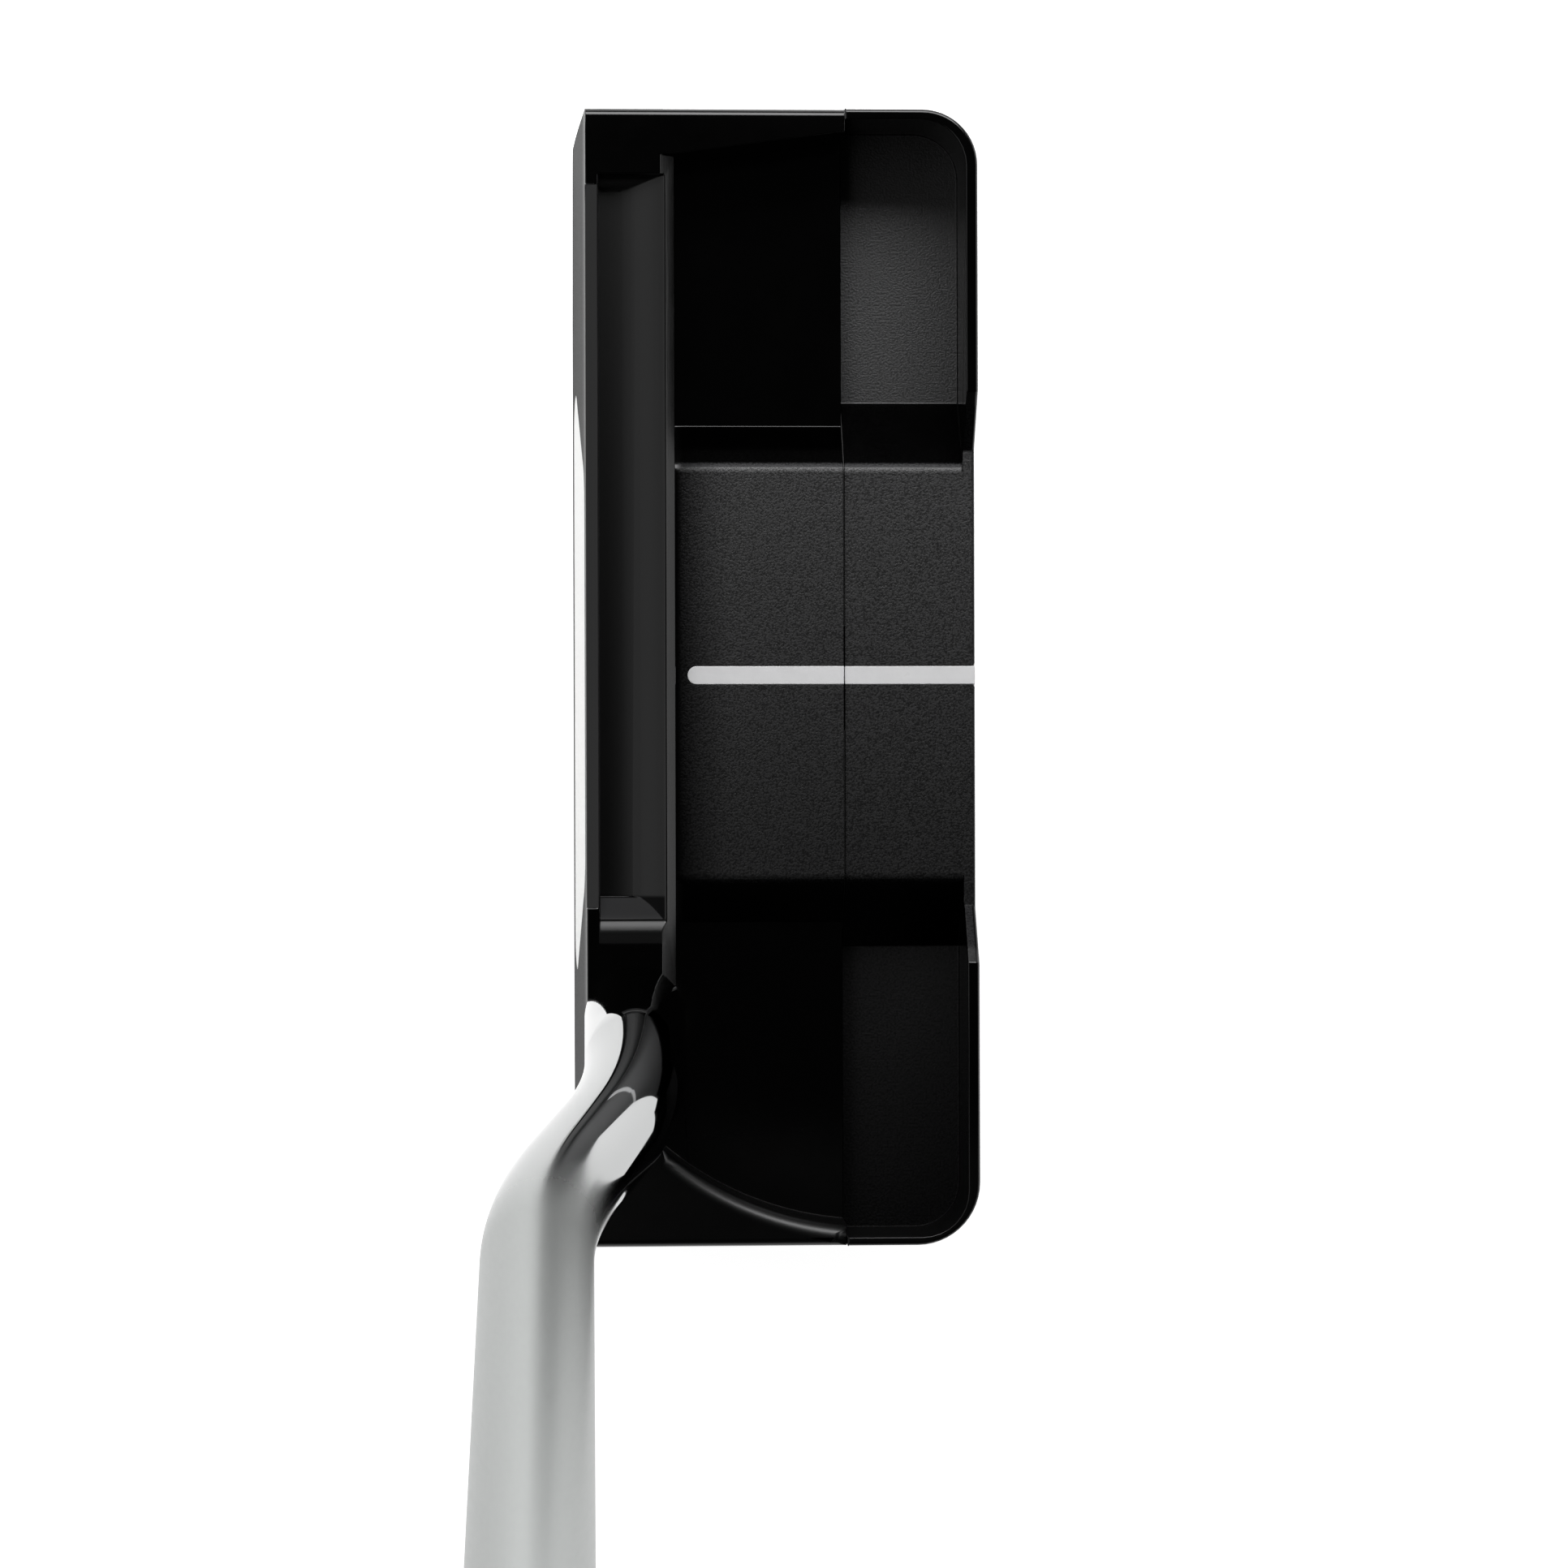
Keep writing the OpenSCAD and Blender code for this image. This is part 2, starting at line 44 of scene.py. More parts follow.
# ------------------------------------------------------------------ sizes, in millimetres
HEAD_H = 25.0
HALF_LENGTH = 54.4
TOE_CORNER_R = 5.3
HEEL_CORNER_R = 6.0
BACK_X = 19.45
LEAD_X = -19.45
SEAM_X = 6.7
RIDGE_FOOT_X = -9.6
CHANNEL_X = (-17.0, -10.7)
END_WALL_Y = (-23.3, -20.9)
END_BAR_Y = (-25.4, -23.3)
CHANNEL_FOOT_Z = (19.0, 20.0)
CHANNEL_TOP_Z = (24.0, 24.9)
PLATEAU_EDGE_Y = (-21.2, 22.2)
RIM_Z = (23.6, 24.4)

LEAN = math.radians(20.0)
ENTRY = Vector((-13.6, -32.6, HEAD_H))
TIP_R = 4.8
BUTT_R = 7.35
WALL = 0.55
BEND_R = 50.0
BEND_ANGLE = math.radians(20.0)
BEND_OFFSET = 8.8
BEND_START = 10.2
TAPER_START = 130.0
CLUB_LENGTH = 889.0
GRIP_LENGTH = 267.0
CAP_H = 5.0
VENT_R = 1.8
BUTT_S = CLUB_LENGTH - HEAD_H / math.cos(LEAN)
SHAFT_END = BUTT_S - CAP_H
GRIP_START = BUTT_S - GRIP_LENGTH
TAPER_END = GRIP_START - 6.0
BRUSHED_Z = (58.0, 76.0)
GRIP_TIP_R = 9.8
GRIP_BUTT_HALF = 13.5
GRIP_INNER_R = BUTT_R + 0.2
GRIP_SWELL = 6.5
GRIP_BUTT_PULL = 1.8
GRIP_FLAT_CUT = 3.0
GRIP_FLAT_BLEND = 0.7

# How finely the round shapes are divided
SHAFT_SIDES = 96
BEND_STEPS = 40
STRAIGHT_STEPS = 40
GRIP_SIDES = 192
GRIP_ROWS = 620
CAP_EDGE_STEPS = 8

# ------------------------------------------------------------------ camera
CAMERA_TARGET = Vector((0.7, -10.2, HEAD_H))
CAMERA_HEIGHT = 404.0
CAMERA_TILT = math.radians(2.65)
CAMERA_ROLL = math.radians(0.16)
CAMERA_LENS = 97.16


def make_camera():
    away = Vector((-CAMERA_HEIGHT * math.tan(CAMERA_TILT), 0, CAMERA_HEIGHT))
    place = CAMERA_TARGET + away
    forward = -away.normalized()
    right = forward.cross(Vector((0, 1, 0))).normalized()
    up = right.cross(forward)
    turned_right = right * math.cos(CAMERA_ROLL) - up * math.sin(CAMERA_ROLL)
    turned_up = up * math.cos(CAMERA_ROLL) + right * math.sin(CAMERA_ROLL)
    data = bpy.data.cameras.new("camera")
    data.lens = CAMERA_LENS
    data.clip_start = 0.01
    camera = bpy.data.objects.new("camera", data)
    camera.matrix_world = Matrix.Translation(place * MM) @ Matrix(
        (turned_right, turned_up, -forward)
    ).transposed().to_4x4()
    bpy.context.collection.objects.link(camera)
    bpy.context.scene.camera = camera


# ------------------------------------------------------------------ node helpers
class Nodes:
    """Short calls for building one material's node tree."""

    def __init__(self, name, colour, roughness, metallic=0.0):
        self.material = bpy.data.materials.new(name)
        self.material.use_nodes = True
        self.tree = self.material.node_tree
        self.shader = self.tree.nodes["Principled BSDF"]
        self.shader.inputs["Base Color"].default_value = (*colour, 1)
        self.shader.inputs["Roughness"].default_value = roughness
        self.shader.inputs["Metallic"].default_value = metallic
        self.material.diffuse_color = (*colour, 1)
        self.coords = self.add("ShaderNodeTexCoord").outputs["Object"]

    def add(self, kind, **settings):
        node = self.tree.nodes.new(kind)
        for key, value in settings.items():
            setattr(node, key, value)
        return node

    def put(self, socket, value):
        if isinstance(value, bpy.types.NodeSocket):
            self.tree.links.new(value, socket)
        else:
            socket.default_value = value

    def math(self, operation, a, b=0.0, c=0.0):
        node = self.add("ShaderNodeMath", operation=operation)
        for socket, value in zip(node.inputs, (a, b, c)):
            self.put(socket, value)
        return node.outputs[0]

    def axis(self, name):
        split = self.add("ShaderNodeSeparateXYZ")
        self.put(split.inputs[0], self.coords)
        return split.outputs[name]

    def normal(self, name):
        split = self.add("ShaderNodeSeparateXYZ")
        self.put(split.inputs[0], self.add("ShaderNodeNewGeometry").outputs["Normal"])
        return split.outputs[name]

    def ramp(self, value, low, high, out_low=0.0, out_high=1.0):
        node = self.add("ShaderNodeMapRange", interpolation_type="SMOOTHSTEP")
        for key, number in (
            ("Value", value),
            ("From Min", low),
            ("From Max", high),
            ("To Min", out_low),
            ("To Max", out_high),
        ):
            self.put(node.inputs[key], number)
        return node.outputs["Result"]

    def product(self, first, *others):
        for value in others:
            first = self.math("MULTIPLY", first, value)
        return first

    def between(self, value, low, high, soft):
        """1 where value lies between low and high, with soft edges."""
        rising = self.ramp(value, low - soft, low + soft)
        falling = self.ramp(value, high - soft, high + soft, 1.0, 0.0)
        return self.product(rising, falling)

    def rises(self, place, low, high):
        """0 before low and 1 past high, in millimetres."""
        return self.ramp(place, low * MM, high * MM)

    def falls(self, place, low, high):
        """1 before low and 0 past high, in millimetres."""
        return self.ramp(place, low * MM, high * MM, 1.0, 0.0)

    def within(self, place, span, soft):
        """1 inside a span of places, with soft edges, in millimetres."""
        return self.between(place, span[0] * MM, span[1] * MM, soft * MM)

    def noise(self, scale, detail=2.0, stretch=(1, 1, 1)):
        mapping = self.add("ShaderNodeMapping")
        self.put(mapping.inputs["Vector"], self.coords)
        mapping.inputs["Scale"].default_value = stretch
        node = self.add("ShaderNodeTexNoise")
        self.put(node.inputs["Vector"], mapping.outputs[0])
        node.inputs["Scale"].default_value = scale
        node.inputs["Detail"].default_value = detail
        return node.outputs["Fac"]

    def mix(self, factor, a, b):
        node = self.add("ShaderNodeMix", data_type="FLOAT")
        self.put(node.inputs["Factor"], factor)
        self.put(node.inputs["A"], a)
        self.put(node.inputs["B"], b)
        return node.outputs["Result"]

    def mix_colour(self, factor, a, b):
        node = self.add("ShaderNodeMix", data_type="RGBA")
        self.put(node.inputs["Factor"], factor)
        for key, value in (("A", a), ("B", b)):
            socket = [s for s in node.inputs if s.name == key and s.type == "RGBA"][0]
            self.put(socket, value if isinstance(value, bpy.types.NodeSocket) else (*value, 1))
        return [s for s in node.outputs if s.type == "RGBA"][0]

    def bump(self, height, distance, strength=1.0):
        node = self.add("ShaderNodeBump")
        node.inputs["Distance"].default_value = distance
        self.put(node.inputs["Strength"], strength)
        self.put(node.inputs["Height"], height)
        return node.outputs["Normal"]

    def set(self, name, value):
        self.put(self.shader.inputs[name], value)


# ------------------------------------------------------------------ materials
WEAR_WIDTH = 0.4
WEAR_AMOUNT = 0.06
WORN_METAL = (0.09, 0.085, 0.08)
# The surface normal's Z on floors and slopes, and its X on the face
FLOOR_NORMAL = (0.73, 0.85)
SLOPE_NORMAL = (0.6, 0.93)
FACE_NORMAL = (-0.97, -0.9)
# The share of light that the black coating mirrors on each kind of surface, on top of its own colour,
# and how much of that share is left on a slope. The end wall's tiny share and the slopes' cut are
# painted shade.
SMOOTH_SHINE = 0.04
BLASTED_SHINE = 0.055
END_WALL_PAINTED_SHADE = 0.005
FACE_SHINE = 0.013
SLOPE_PAINTED_SHADE = 0.08


def shade(colour, factor):
    return tuple(min(1.0, factor * c) for c in colour)


def edge_wear(n):
    """1 along sharp edges, where the coating is thinnest."""
    node = n.add("ShaderNodeBevel", samples=4)
    node.inputs["Radius"].default_value = WEAR_WIDTH * MM
    true_normal = n.add("ShaderNodeNewGeometry").outputs["Normal"]
    dot = n.add("ShaderNodeVectorMath", operation="DOT_PRODUCT")
    n.put(dot.inputs[0], node.outputs[0])
    n.put(dot.inputs[1], true_normal)
    return n.ramp(dot.outputs["Value"], 0.995, 0.9, 0.0, 1.0)


def channel_zones(n, x, y, z):
    """Masks of the channel, of the wall at its heel end and of the rounded bar behind that wall."""
    across = n.product(n.within(x, CHANNEL_X, 0.1), n.rises(z, *CHANNEL_FOOT_Z))
    channel = n.product(across, n.falls(z, *CHANNEL_TOP_Z))
    end_wall = n.product(n.within(y, END_WALL_Y, 0.2), across)
    end_bar = n.product(n.within(y, END_BAR_Y, 0.2), across)
    return channel, end_wall, end_bar


def black_coating(name, smooth, blast):
    """Black metal finish: blasted satin on the plateau and the rear floors, smooth and darker elsewhere.

    It's metal, so its base colour is also what it mirrors. The satin is painted lighter towards the toe
    and darker towards the heel and next to the ridge, and the slopes round the floors and the wall at
    the channel's heel end are
    painted darker: painted light and shade, to match the photograph."""
    n = Nodes(name, smooth, 0.3, 1.0)
    x = n.axis("X")
    y = n.axis("Y")
    z = n.axis("Z")
    facing_up = n.normal("Z")
    behind_ridge = n.rises(x, RIDGE_FOOT_X - 0.1, RIDGE_FOOT_X + 0.9)
    below_rim = n.falls(z, *RIM_Z)
    plateau = n.within(y, PLATEAU_EDGE_Y, 0.4)
    rear = n.rises(x, SEAM_X - 0.1, SEAM_X + 0.1)
    floors = n.product(n.math("MAXIMUM", plateau, rear), behind_ridge, below_rim)
    blasted = n.product(floors, n.ramp(facing_up, *FLOOR_NORMAL))
    slopes = n.product(n.between(facing_up, *SLOPE_NORMAL, 0.02), behind_ridge, below_rim)
    facing_front = n.ramp(n.normal("X"), *FACE_NORMAL, 1.0, 0.0)
    face = n.product(facing_front, n.falls(x, LEAD_X + 0.95, LEAD_X + 1.65))
    channel, end_wall, end_bar = channel_zones(n, x, y, z)
    grain = n.ramp(n.noise(5200, 2), 0.3, 0.7)
    blotch = n.noise(260, 3)
    lines = n.noise(4200, 2, (1, 0.05, 1))

    heel_haze = n.ramp(y, -48 * MM, -38 * MM, 0.16, 0.0)
    gloss = n.math("ADD", n.mix(blotch, 0.13, 0.19), heel_haze)
    polish = n.mix(n.math("MAXIMUM", channel, end_bar), gloss, 0.38)
    rough = n.mix(blasted, polish, n.mix(grain, 0.42, 0.58))
    n.set("Roughness", n.mix(face, rough, n.mix(grain, 0.62, 0.72)))

    # Painted light and shade: the blasted satin's colour and mirrored share are painted lighter towards
    # the toe and darker towards the heel and next to the ridge wall, where its shade falls.
    painted_toe_light = n.ramp(y, -60 * MM, 40 * MM, 0.22, 1.3)
    painted_ridge_shade = n.ramp(x, RIDGE_FOOT_X * MM, (RIDGE_FOOT_X + 6) * MM, 0.3, 1.0)
    painted_light_and_shade = n.product(painted_toe_light, painted_ridge_shade)
    satin = n.mix_colour(grain, shade(blast, 0.5), shade(blast, 1.5))
    satin = n.mix_colour(painted_light_and_shade, smooth, satin)
    plain = n.mix_colour(blotch, smooth, shade(smooth, 1.3))
    tint = n.mix_colour(blasted, plain, satin)
    wear = n.product(edge_wear(n), n.ramp(blotch, 0.35, 0.7), WEAR_AMOUNT)
    tint = n.mix_colour(wear, tint, WORN_METAL)

    # Painted shade: the wall at the channel's heel end gets almost no mirrored share, so it reads near
    # black.
    shine = n.mix(end_wall, SMOOTH_SHINE, END_WALL_PAINTED_SHADE)
    shine = n.mix(blasted, shine, n.product(painted_light_and_shade, BLASTED_SHINE))
    # Painted shade: the slopes round the floors keep only a small part of their mirrored share, so they
    # read near black.
    shine = n.product(shine, n.mix(slopes, 1.0, SLOPE_PAINTED_SHADE))
    shine = n.mix(face, shine, FACE_SHINE)
    n.set("Base Color", n.mix_colour(shine, tint, (1, 1, 1)))
    n.set("Normal", n.bump(n.mix(blasted, lines, grain), 0.00002, n.mix(blasted, 0.1, 0.75)))
    return n.material


def white_urethane():
    n = Nodes("white_urethane", (0.86, 0.86, 0.85), 0.42)
    lines = n.math("SINE", n.product(n.axis("Z"), 2 * math.pi / (0.45 * MM)))
    across = n.math("SINE", n.product(n.axis("Y"), 2 * math.pi / (0.9 * MM)))
    pattern = n.product(lines, across)
    speck = n.noise(3000, 3)
    n.set("Base Color", n.mix_colour(n.ramp(speck, 0.3, 0.8), (0.88, 0.88, 0.87), (0.8, 0.8, 0.79)))
    n.set("Roughness", n.mix(speck, 0.36, 0.5))
    n.set("Normal", n.bump(n.math("ADD", pattern, speck), 0.00003, 0.6))
    n.shader.inputs["Subsurface Weight"].default_value = 0.15
    n.shader.inputs["Subsurface Radius"].default_value = (0.001, 0.001, 0.0009)
    return n.material


def white_enamel():
    n = Nodes("white_enamel", (0.84, 0.84, 0.84), 0.3)
    pool = n.noise(700, 2)
    n.set("Base Color", n.mix_colour(n.ramp(pool, 0.3, 0.8), (0.96, 0.96, 0.97), (0.92, 0.92, 0.93)))
    n.set("Roughness", n.mix(pool, 0.22, 0.4))
    n.set("Normal", n.bump(pool, 0.00006, 0.5))
    return n.material


def mirror_chrome():
    """Polished at the foot and the first bend, turning brushed over the second."""
    polished, satin = (0.42, 0.425, 0.425), (0.34, 0.35, 0.345)
    n = Nodes("mirror_chrome", polished, 0.03, 1.0)
    haze = n.noise(420, 4, (1, 1, 0.2))
    brushed = n.ramp(n.axis("Z"), BRUSHED_Z[0] * MM, BRUSHED_Z[1] * MM)
    scratch = n.noise(2400, 3, (1, 1, 0.05))
    polish = n.ramp(haze, 0.35, 0.8, 0.02, 0.06)
    n.set("Roughness", n.mix(brushed, polish, n.mix(scratch, 0.36, 0.44)))
    n.set("Base Color", n.mix_colour(brushed, polished, satin))
    ripple = n.mix(brushed, n.noise(90, 2), scratch)
    n.set("Normal", n.bump(ripple, 0.00001, n.mix(brushed, 0.08, 0.12)))
    return n.material


def turned_steel():
    n = Nodes("turned_steel", (0.5, 0.5, 0.52), 0.3, 1.0)
    fine = n.noise(6000, 3, (1, 1, 0.1))
    stain = n.noise(400, 3)
    n.set("Base Color", n.mix_colour(n.ramp(stain, 0.3, 0.8), (0.54, 0.54, 0.56), (0.4, 0.4, 0.41)))
    n.set("Roughness", n.mix(fine, 0.22, 0.42))
    n.set("Normal", n.bump(fine, 0.00002, 0.4))
    return n.material


def grip_rubber():
    n = Nodes("grip_rubber", (0.022, 0.022, 0.024), 0.6)
    skin = n.noise(2600, 4)
    dust = n.noise(120, 3)
    n.set("Base Color", n.mix_colour(n.ramp(dust, 0.4, 0.8), (0.02, 0.02, 0.022), (0.04, 0.039, 0.04)))
    n.set("Roughness", n.mix(skin, 0.5, 0.75))
    n.set("Normal", n.bump(skin, 0.00006, 0.5))
    return n.material


def plain_filler(name, colour, roughness):
    n = Nodes(name, colour, roughness)
    body = n.noise(1500, 3)
    n.set("Base Color", n.mix_colour(body, shade(colour, 0.8), shade(colour, 1.15)))
    n.set("Roughness", n.mix(body, roughness - 0.1, roughness + 0.1))
    n.set("Normal", n.bump(body, 0.00004, 0.4))
    return n.material


# ------------------------------------------------------------------ mesh helpers
def link_piece(name, mesh, material, slot, *replaced):
    piece = bpy.data.objects.new(name, mesh)
    bpy.context.collection.objects.link(piece)
    piece.data.materials.clear()
    piece.data.materials.append(material)
    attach(piece, "root")
    if replaced:
        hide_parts(*replaced)
    return piece


SAME_POINT = 0.002
FLAT_ANGLE = math.radians(0.6)
SHARP_ANGLE = math.radians(24)


def refined_copy(node, name, material, slot, width_of):
    """A copy of a CAD node with its flat faces merged and every sharp edge rounded.

    width_of(edge's middle) gives the radius of each edge. Both are in millimetres."""
    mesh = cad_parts[node].data.copy()
    mesh.name = name
    bm = bmesh.new()
    bm.from_mesh(mesh)
    bmesh.ops.remove_doubles(bm, verts=bm.verts, dist=SAME_POINT * MM)
    bmesh.ops.dissolve_limit(
        bm, angle_limit=FLAT_ANGLE, verts=bm.verts, edges=bm.edges, delimit={"NORMAL"}
    )
    weights = bm.edges.layers.float.new("bevel_weight_edge")
    for edge in bm.edges:
        if len(edge.link_faces) == 2 and edge.calc_face_angle(0) > SHARP_ANGLE:
            middle = (edge.verts[0].co + edge.verts[1].co) / 2 / MM
            edge[weights] = width_of(middle)
    bm.to_mesh(mesh)
    bm.free()
    piece = link_piece(name, mesh, material, slot, node)
    for polygon in mesh.polygons:
        polygon.use_smooth = True
    bevel = piece.modifiers.new("edges", "BEVEL")
    bevel.limit_method = "WEIGHT"
    bevel.width = 1.0 * MM
    bevel.segments = 3
    bevel.miter_outer = "MITER_ARC"
    bevel.use_clamp_overlap = False
    normals = piece.modifiers.new("normals", "WEIGHTED_NORMAL")
    normals.weight = 50
    return piece


def sweep(name, rings):
    """A tube-like mesh through rings of equal length in millimetres, the last joined to the first."""
    bm = bmesh.new()
    rows = [[bm.verts.new(p * MM) for p in ring] for ring in rings]
    count = len(rings[0])
    for low, high in zip(rows, rows[1:]):
        for k in range(count):
            m = (k + 1) % count
            bm.faces.new((low[k], low[m], high[m], high[k]))
    for k in range(count):
        m = (k + 1) % count
        bm.faces.new((rows[-1][k], rows[-1][m], rows[0][m], rows[0][k]))
    bmesh.ops.recalc_face_normals(bm, faces=bm.faces)
    mesh = bpy.data.meshes.new(name)
    bm.to_mesh(mesh)
    bm.free()
    for polygon in mesh.polygons:
        polygon.use_smooth = True
    return mesh


# ------------------------------------------------------------------ shaft
def shaft_place(local):
    """A point of the shaft's own frame, Z up the axis from the head's top, in the part's frame."""
    x, y, z = local
    return ENTRY + Vector(
        (x, y * math.cos(LEAN) - z * math.sin(LEAN), y * math.sin(LEAN) + z * math.cos(LEAN))
    )


def shaft_stations():
    """Centre x and z, turn and outer radius of each ring above the mitred foot."""
    between_bends = (BEND_OFFSET - 2 * BEND_R * (1 - math.cos(BEND_ANGLE))) / math.sin(BEND_ANGLE)
    stations = []
    for i in range(BEND_STEPS + 1):
        a = BEND_ANGLE * i / BEND_STEPS
        stations.append((-BEND_R * (1 - math.cos(a)), BEND_START + BEND_R * math.sin(a), a, TIP_R))
    x0 = stations[-1][0] - between_bends * math.sin(BEND_ANGLE)
    z0 = stations[-1][1] + between_bends * math.cos(BEND_ANGLE)
    for i in range(BEND_STEPS + 1):
        a = BEND_ANGLE * (1 - i / BEND_STEPS)
        x = x0 + BEND_R * (math.cos(BEND_ANGLE) - math.cos(a))
        z = z0 + BEND_R * (math.sin(BEND_ANGLE) - math.sin(a))
        stations.append((x, z, a, TIP_R))
    straight_start = stations[-1][1]
    for i in range(1, STRAIGHT_STEPS + 1):
        t = i / STRAIGHT_STEPS
        z = straight_start * (1 - t) + SHAFT_END * t
        grow = min(1, max(0, (z - TAPER_START) / (TAPER_END - TAPER_START)))
        stations.append((-BEND_OFFSET, z, 0, TIP_R + (BUTT_R - TIP_R) * grow))
    return stations


def around(sides):
    """The angles of a ring's points."""
    return [2 * math.pi * k / sides for k in range(sides)]


def shaft_rings(less):
    """The shaft's rings, their radius less than the outer one by the given amount."""
    rings = []
    foot = []
    r = TIP_R - less
    for f in around(SHAFT_SIDES):
        foot.append(shaft_place((r * math.cos(f), r * math.sin(f), -r * math.sin(f) * math.tan(LEAN))))
    rings.append(foot)
    for x, z, a, radius in shaft_stations():
        r = radius - less
        ring = []
        for f in around(SHAFT_SIDES):
            out = r * math.cos(f)
            ring.append(shaft_place((x + out * math.cos(a), r * math.sin(f), z + out * math.sin(a))))
        rings.append(ring)
    return rings


def make_shaft(material):
    outer = shaft_rings(0.0)
    inner = shaft_rings(WALL)
    mesh = sweep("chrome_shaft", outer + list(reversed(inner)))
    return link_piece("chrome_shaft", mesh, material, "chrome", "shaft")


# ------------------------------------------------------------------ grip
def ease(t):
    t = min(1.0, max(0.0, t))
    return t * t * (3 - 2 * t)


def grip_section(t, angle):
    """A point of the pistol grip's outline at t, 0 at the lower end and 1 at the butt.

    The back swells into the pistol shape and draws in again at the butt. The front is cut flat."""
    width = GRIP_TIP_R + (GRIP_BUTT_HALF - GRIP_TIP_R) * ease(t * 1.5)
    front = GRIP_TIP_R - 0.4 + 1.2 * ease(t)
    swell = GRIP_SWELL * ease((t - 0.62) / 0.26) - GRIP_BUTT_PULL * ease((t - 0.9) / 0.1)
    back = GRIP_TIP_R + 1.5 * ease(t * 2) + swell
    y = math.sin(angle)
    if y > 0:
        full = (front + GRIP_FLAT_CUT) * y
        blend = (full - front + GRIP_FLAT_BLEND) / (2 * GRIP_FLAT_BLEND)
        blend = max(0.0, min(1.0, blend))
        y = min(full, front) - GRIP_FLAT_BLEND * blend * (1 - blend) * 0.5
    else:
        y = back * y
    return width * math.cos(angle), y


def grip_ring(t, z, inset):
    """A ring of the grip's outline, drawn in by inset(t, angle) millimetres."""
    ring = []
    for angle in around(GRIP_SIDES):
        x, y = grip_section(t, angle)
        length = math.hypot(x, y)
        shrink = (length - inset(t, angle)) / length
        ring.append(shaft_place((x * shrink - BEND_OFFSET, y * shrink, z)))
    return ring


def even_grip_ring(t, z, inset):
    """A ring of the grip's outline, drawn in by the same amount all round."""
    return grip_ring(t, z, lambda t, angle: inset)


def round_ring(radius, z):
    """A circle round the shaft's axis, with as many points as a grip ring."""
    ring = []
    for f in around(GRIP_SIDES):
        ring.append(shaft_place((radius * math.cos(f) - BEND_OFFSET, radius * math.sin(f), z)))
    return ring


PATTERN_T = (0.045, 0.965)
BACK_PANEL = (205, 335)
FRONT_PANEL = (62, 118)
GROOVE_ROWS = 62
CELLS_AROUND = 18
BACK_DEPTH = 0.38
FRONT_DEPTH = 0.25
SKIN_DEPTH = 0.05


def grip_groove(t, angle):
    """Depth in millimetres of the moulded pattern: cross grooves on the back and front panels."""
    if t < PATTERN_T[0] or t > PATTERN_T[1]:
        return 0.0
    degrees = math.degrees(angle) % 360
    back = min(ease((degrees - BACK_PANEL[0]) / 6), ease((BACK_PANEL[1] - degrees) / 6))
    front = min(ease((degrees - FRONT_PANEL[0]) / 5), ease((FRONT_PANEL[1] - degrees) / 5))
    rows = math.sin(2 * math.pi * t * GROOVE_ROWS)
    cells = math.sin(math.radians(degrees) * CELLS_AROUND + (math.pi if rows > 0 else 0))
    back_depth = BACK_DEPTH * ease((abs(rows) - 0.3) * 2.5) * ease((cells + 0.4) * 1.6)
    front_depth = FRONT_DEPTH * ease((rows - 0.2) * 2.0)
    return SKIN_DEPTH + back_depth * back + front_depth * front


# Height above the grip's lower end and inset of the rings that round its lip
GRIP_LIP = ((0.0, 0.9), (0.6, 0.1))


def make_grip(material):
    body = GRIP_LENGTH - CAP_H
    lower_lip = [even_grip_ring(0, GRIP_START + rise, inset) for rise, inset in GRIP_LIP]
    rings = []
    for i in range(1, GRIP_ROWS + 1):
        t = i / GRIP_ROWS
        rings.append(grip_ring(t, GRIP_START + body * t, grip_groove))
    inner = [round_ring(GRIP_INNER_R, z) for z in (GRIP_START + body, GRIP_START)]
    mesh = sweep("pistol_grip", lower_lip + rings + inner)
    return link_piece("pistol_grip", mesh, material, "grip_rubber", "grip")


CAP_EDGE_R = 1.6
CAP_INSET = 0.05
# Radius and depth below the butt of each ring of the cap's shallow dish and its vent hole
CAP_DISH = (
    (8.2, 0.0),
    (8.0, 0.1),
    (7.9, 0.35),
    (7.6, 0.4),
    (VENT_R + 0.5, 0.4),
    (VENT_R + 0.1, 0.5),
    (VENT_R, 0.8),
    (VENT_R, CAP_H),
)


def make_grip_cap(material):
    rings = [even_grip_ring(1, SHAFT_END, CAP_INSET)]
    for i in range(CAP_EDGE_STEPS + 1):
        a = math.pi / 2 * i / CAP_EDGE_STEPS
        z = BUTT_S - CAP_EDGE_R * (1 - math.sin(a))
        rings.append(even_grip_ring(1, z, CAP_INSET + CAP_EDGE_R * (1 - math.cos(a))))
    rings += [round_ring(radius, BUTT_S - depth) for radius, depth in CAP_DISH]
    mesh = sweep("grip_cap", rings)
    return link_piece("grip_cap", mesh, material, "grip_rubber", "grip_end_cap")


# ------------------------------------------------------------------ head
def outline_gap(p):
    """Distance in millimetres from the head's outline, seen from above."""
    r = TOE_CORNER_R if p.y > 0 else HEEL_CORNER_R
    past_x = p.x - (BACK_X - r)
    past_y = abs(p.y) - (HALF_LENGTH - r)
    if past_x > 0 and past_y > 0:
        return r - math.hypot(past_x, past_y)
    return min(HALF_LENGTH - abs(p.y), BACK_X - p.x)


# Edge radii in millimetres
SCREW_EDGE = 0.05
PAINT_EDGE = 0.06
FINE_EDGE = 0.08
SMALL_EDGE = 0.1
PLAIN_EDGE = 0.12
REAR_SOLE_EDGE = 0.25
REAR_RIM_EDGE = 0.4
END_TOP_EDGE = 0.8
HEEL_ARC_EDGE = 1.6


